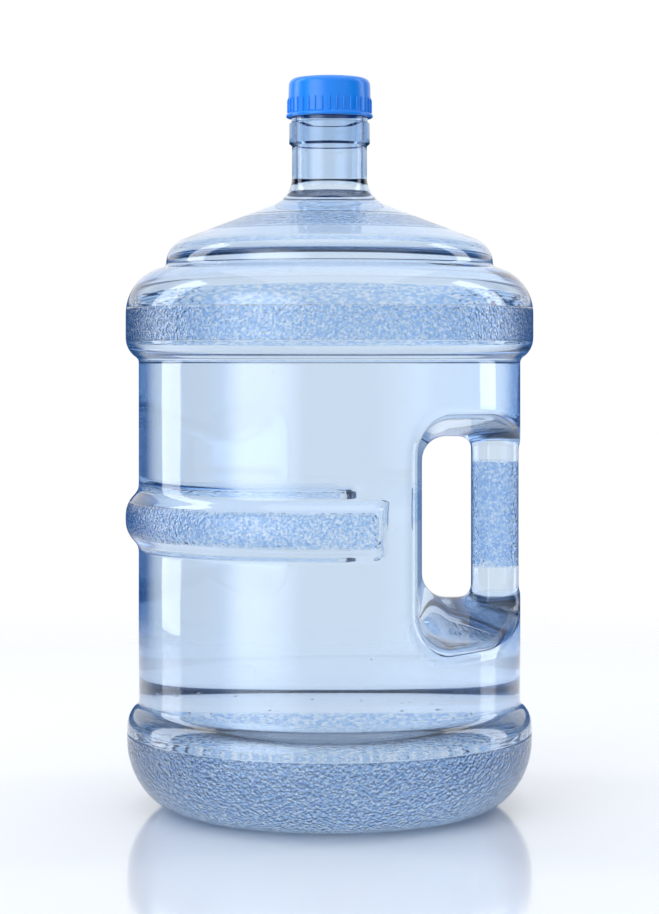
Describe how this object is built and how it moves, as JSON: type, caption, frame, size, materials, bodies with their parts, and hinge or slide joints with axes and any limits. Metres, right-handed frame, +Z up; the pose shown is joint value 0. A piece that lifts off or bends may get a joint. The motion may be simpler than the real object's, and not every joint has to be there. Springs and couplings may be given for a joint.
{
  "type": "large water jug",
  "caption": "Round clear-blue water jug with a built-in side hand grip, stepped shoulder, side rib, narrow neck and a blue ribbed screw cap, filled with water.",
  "frame": {"origin": "centre of the foot, on the surface that the jug stands on", "axes": "+Z up along the jug's axis, +X towards the hand grip, -Y is the front"},
  "size_m": [0.27, 0.27, 0.4823],
  "materials": {
    "bottle_plastic": "clear pale-blue moulded plastic, smooth gloss with fine orange-peel grain on the bands, rib, grip bar and base",
    "water": "still clear water",
    "liner_foam": "soft white sealing foam",
    "cap_plastic": "smooth saturated blue moulded plastic"
  },
  "bodies": {
    "jug": {"bottle": "bottle_plastic", "water": "water"},
    "liner": {"cap_liner": "liner_foam"},
    "cap": {"screw_cap": "cap_plastic"}
  },
  "joints": [
    {"name": "cap_rise", "type": "slide", "parent": "jug", "child": "liner", "axis": [0, 0, 1], "range_m": [0, 0.03001]},
    {"name": "cap_turn", "type": "hinge", "parent": "liner", "child": "cap", "pos_m": [0, 0, 0.468], "axis": [0, 0, 1], "range_deg": [0, 1800]}
  ],
  "couplings": [
    {"joint": "cap_rise", "follows": "cap_turn", "m_per_rad": 0.00095493}
  ]
}
